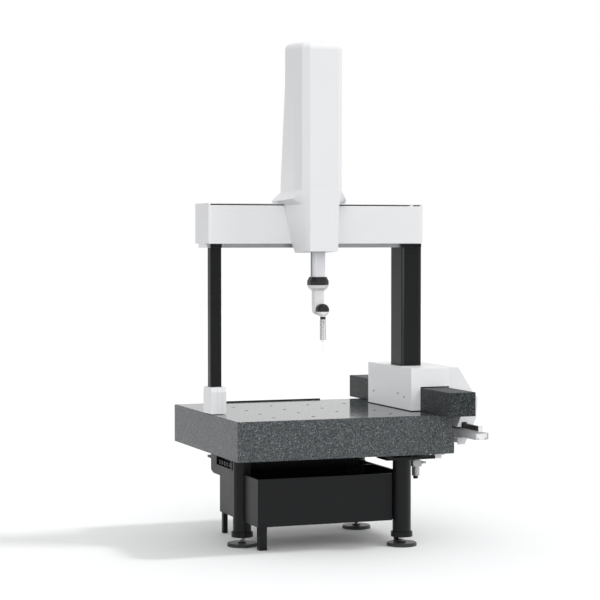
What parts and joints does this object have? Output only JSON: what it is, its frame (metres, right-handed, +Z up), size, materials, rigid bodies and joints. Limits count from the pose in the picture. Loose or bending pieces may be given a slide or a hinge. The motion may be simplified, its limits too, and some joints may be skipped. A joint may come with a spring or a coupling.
{
  "type": "coordinate measuring machine",
  "caption": "Moving-bridge coordinate measuring machine: granite table on levelling legs, bridge on a granite rail, travelling head with ram and a turning, tilting probe head.",
  "frame": {"origin": "middle of the whole machine's outline, on the floor", "axes": "+X along the bridge's beam, +Y from the front into the depth of the table, +Z up"},
  "size_m": [1.351, 1.258, 2.4454],
  "materials": {
    "granite": "polished dark grey granite with fine light and dark grains",
    "black_enamel": "satin black powder coat",
    "foot_black": "satin black cast discs",
    "bright_steel": "bright machined steel",
    "black_anodised": "satin black anodised",
    "grey_aluminium": "grey natural anodised",
    "bright_aluminium": "bright natural aluminium",
    "white_cover": "satin white moulded covers",
    "motor_case": "black anodised motor cases",
    "belt_rubber": "black toothed belt rubber",
    "ram_grey": "light grey ground ceramic",
    "probe_black": "satin black housings",
    "probe_white": "white satin housings",
    "sensor_steel": "bright turned steel",
    "stylus_white": "white ceramic stem with a polished ball"
  },
  "bodies": {
    "base": {"granite_table": "granite", "table_inserts": "bright_steel", "guide_rail": "granite", "leg_left": "black_enamel", "leg_front_right": "black_enamel", "leg_rear_right": "black_enamel", "foot_stems": "bright_steel", "foot_pads": "foot_black", "cabinet_tub": "black_enamel", "cabinet_posts": "black_enamel", "controller_housing": "black_enamel", "connector_sockets": "probe_black", "rear_guard": "black_enamel", "air_filter": "black_enamel", "air_fittings": "bright_steel", "tray_brackets": "bright_aluminium", "cable_tray": "bright_aluminium", "y_drive_profile": "black_anodised", "y_motor": "motor_case", "y_belt": "belt_rubber", "y_scale": "bright_steel"},
    "regulator_knob": {"regulator_knob": "probe_black"},
    "y_drive_pulley": {"y_drive_pulley": "bright_steel"},
    "y_idler_pulley": {"y_idler_pulley": "bright_steel"},
    "bridge": {"carriage_body": "grey_aluminium", "air_bearings": "bright_aluminium", "carriage_cover": "white_cover", "carriage_outer_cover": "white_cover", "y_drive_arm": "grey_aluminium", "y_read_head": "motor_case", "left_foot_body": "grey_aluminium", "left_foot_cover": "white_cover", "left_column": "black_anodised", "right_column": "black_anodised", "beam_extrusion": "grey_aluminium", "beam_front_cover": "white_cover", "beam_top_cover": "black_anodised", "beam_rear_cover": "white_cover", "beam_end_caps": "white_cover", "x_motor": "motor_case", "x_belt": "belt_rubber", "x_scale": "bright_steel"},
    "x_drive_pulley": {"x_drive_pulley": "bright_steel"},
    "x_idler_pulley": {"x_idler_pulley": "bright_steel"},
    "x_carriage": {"x_saddle": "grey_aluminium", "x_read_head": "motor_case", "head_bearings": "bright_aluminium", "head_cover": "white_cover", "tower_cover": "white_cover", "z_guide_frame": "grey_aluminium", "z_motor": "motor_case"},
    "z_drive_roller": {"z_drive_roller": "bright_steel"},
    "ram": {"ram_tube": "ram_grey", "head_stator": "probe_black"},
    "probe_head": {"probe_arm": "probe_white"},
    "wrist": {"wrist_cap": "probe_black", "wrist_shell": "probe_white", "probe_ring": "probe_black", "probe_body": "sensor_steel", "stylus": "stylus_white"}
  },
  "joints": [
    {"name": "y_travel", "type": "slide", "parent": "base", "child": "bridge", "axis": [0, 1, 0], "range_m": [-0.225, 0.275]},
    {"name": "x_travel", "type": "slide", "parent": "bridge", "child": "x_carriage", "axis": [1, 0, 0], "range_m": [-0.25, 0.25]},
    {"name": "z_travel", "type": "slide", "parent": "x_carriage", "child": "ram", "axis": [0, 0, 1], "range_m": [-0.3, 0.07]},
    {"name": "head_turn", "type": "hinge", "parent": "ram", "child": "probe_head", "pos_m": [-0.1518, -0.236, 1.2665], "axis": [0, 0, 1], "range_deg": [-180, 180]},
    {"name": "wrist_turn", "type": "hinge", "parent": "probe_head", "child": "wrist", "pos_m": [-0.1518, -0.261, 1.147], "axis": [0, 1, 0], "range_deg": [-180, 180]},
    {"name": "y_drive_pulley_turn", "type": "hinge", "parent": "base", "child": "y_drive_pulley", "pos_m": [0.5965, 0.583, 0.563], "axis": [1, 0, 0], "range_deg": [-2020, 1660]},
    {"name": "y_idler_pulley_turn", "type": "hinge", "parent": "base", "child": "y_idler_pulley", "pos_m": [0.5965, -0.471, 0.563], "axis": [1, 0, 0], "range_deg": [-2020, 1660]},
    {"name": "x_drive_pulley_turn", "type": "hinge", "parent": "bridge", "child": "x_drive_pulley", "pos_m": [0.4035, 0.03, 1.497], "axis": [0, 1, 0], "range_deg": [-870, 870]},
    {"name": "x_idler_pulley_turn", "type": "hinge", "parent": "bridge", "child": "x_idler_pulley", "pos_m": [-0.6315, 0.03, 1.497], "axis": [0, 1, 0], "range_deg": [-870, 870]},
    {"name": "z_drive_roller_turn", "type": "hinge", "parent": "x_carriage", "child": "z_drive_roller", "pos_m": [-0.1518, -0.1962, 1.798], "axis": [1, 0, 0], "range_deg": [-340, 1410]},
    {"name": "regulator_knob_turn", "type": "hinge", "parent": "base", "child": "regulator_knob", "pos_m": [0.3485, -0.28, 0.324], "axis": [0, 0, 1], "range_deg": [-180, 180]}
  ],
  "couplings": [
    {"joint": "y_drive_pulley_turn", "follows": "y_travel", "rad_per_m": -127.39},
    {"joint": "y_idler_pulley_turn", "follows": "y_travel", "rad_per_m": -127.39},
    {"joint": "x_drive_pulley_turn", "follows": "x_travel", "rad_per_m": 59.347},
    {"joint": "x_idler_pulley_turn", "follows": "x_travel", "rad_per_m": 59.347},
    {"joint": "z_drive_roller_turn", "follows": "z_travel", "rad_per_m": -81.301}
  ]
}
